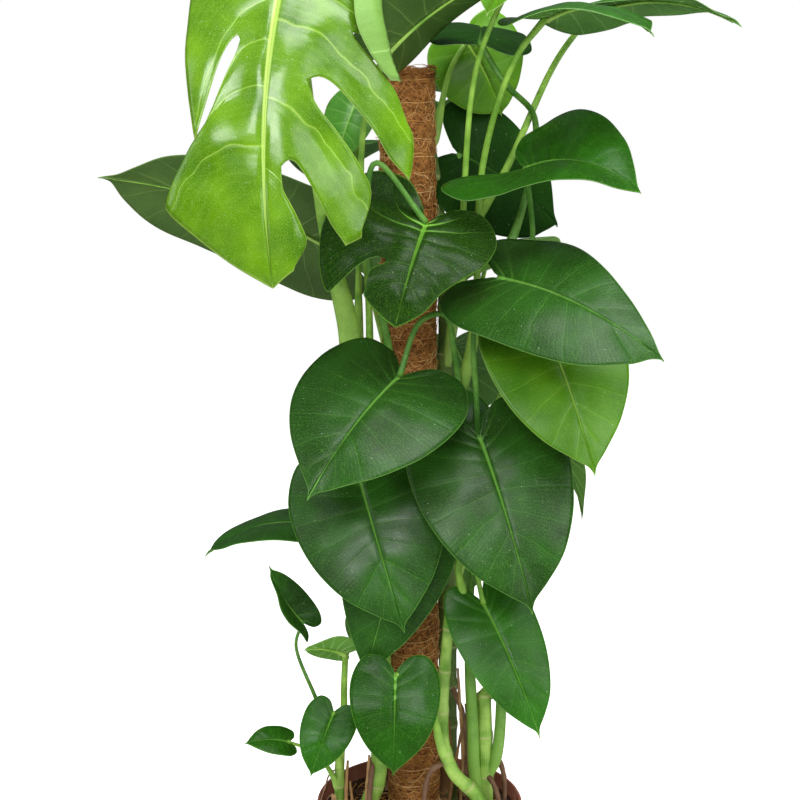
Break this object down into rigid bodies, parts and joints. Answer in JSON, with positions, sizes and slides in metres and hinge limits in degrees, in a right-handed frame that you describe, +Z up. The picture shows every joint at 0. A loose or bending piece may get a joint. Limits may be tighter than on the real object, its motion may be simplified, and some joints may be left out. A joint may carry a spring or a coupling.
{
  "type": "potted monstera",
  "caption": "Potted climbing monstera on a coir pole, with heart-shaped and cut leaves on arching stalks, planted in a round plastic nursery pot.",
  "frame": {"origin": "the middle of the pot's flat base, on the surface that it stands on", "axes": "+Z up the pole; the front of the plant, as the picture shows it, faces -Y, with +X on the right"},
  "size_m": [0.6402, 0.4654, 1.1367],
  "materials": {
    "pot": "satin",
    "soil": "matte",
    "stake": "matte",
    "coir": "matte",
    "stem": "satin",
    "leaf_bright": "satin",
    "leaf_fresh": "satin",
    "leaf_green": "satin",
    "leaf_dark": "satin",
    "leaf_pale": "matte"
  },
  "bodies": {
    "root": {"pot": "pot", "soil": "soil", "pole_core": "stake", "coir_sleeve": "coir", "main_stem": "stem", "left_stem": "stem", "right_stem": "stem", "front_stem": "stem", "small_stem": "stem", "back_stem": "stem", "crown_leaf_1": "leaf_bright", "crown_leaf_2": "leaf_pale", "crown_leaf_3": "leaf_pale", "crown_leaf_4": "leaf_dark", "crown_leaf_5": "leaf_green", "crown_leaf_6": "leaf_green", "crown_leaf_7": "leaf_bright", "crown_leaf_8": "leaf_fresh", "crown_leaf_9": "leaf_dark", "crown_leaf_10": "leaf_dark", "crown_leaf_11": "leaf_fresh", "crown_leaf_12": "leaf_dark", "crown_leaf_13": "leaf_fresh", "middle_leaf_1": "leaf_dark", "middle_leaf_2": "leaf_bright", "middle_leaf_3": "leaf_dark", "middle_leaf_4": "leaf_dark", "middle_leaf_5": "leaf_dark", "middle_leaf_6": "leaf_green", "middle_leaf_7": "leaf_green", "middle_leaf_8": "leaf_pale", "middle_leaf_9": "leaf_dark", "lower_leaf_1": "leaf_green", "lower_leaf_2": "leaf_green", "lower_leaf_3": "leaf_green", "lower_leaf_4": "leaf_green", "lower_leaf_5": "leaf_dark", "lower_leaf_6": "leaf_fresh", "back_leaf_1": "leaf_green", "back_leaf_2": "leaf_dark", "back_leaf_3": "leaf_dark", "back_leaf_4": "leaf_green", "back_leaf_5": "leaf_green", "back_leaf_6": "leaf_green", "back_leaf_7": "leaf_green", "back_leaf_8": "leaf_green"}
  },
  "joints": []
}
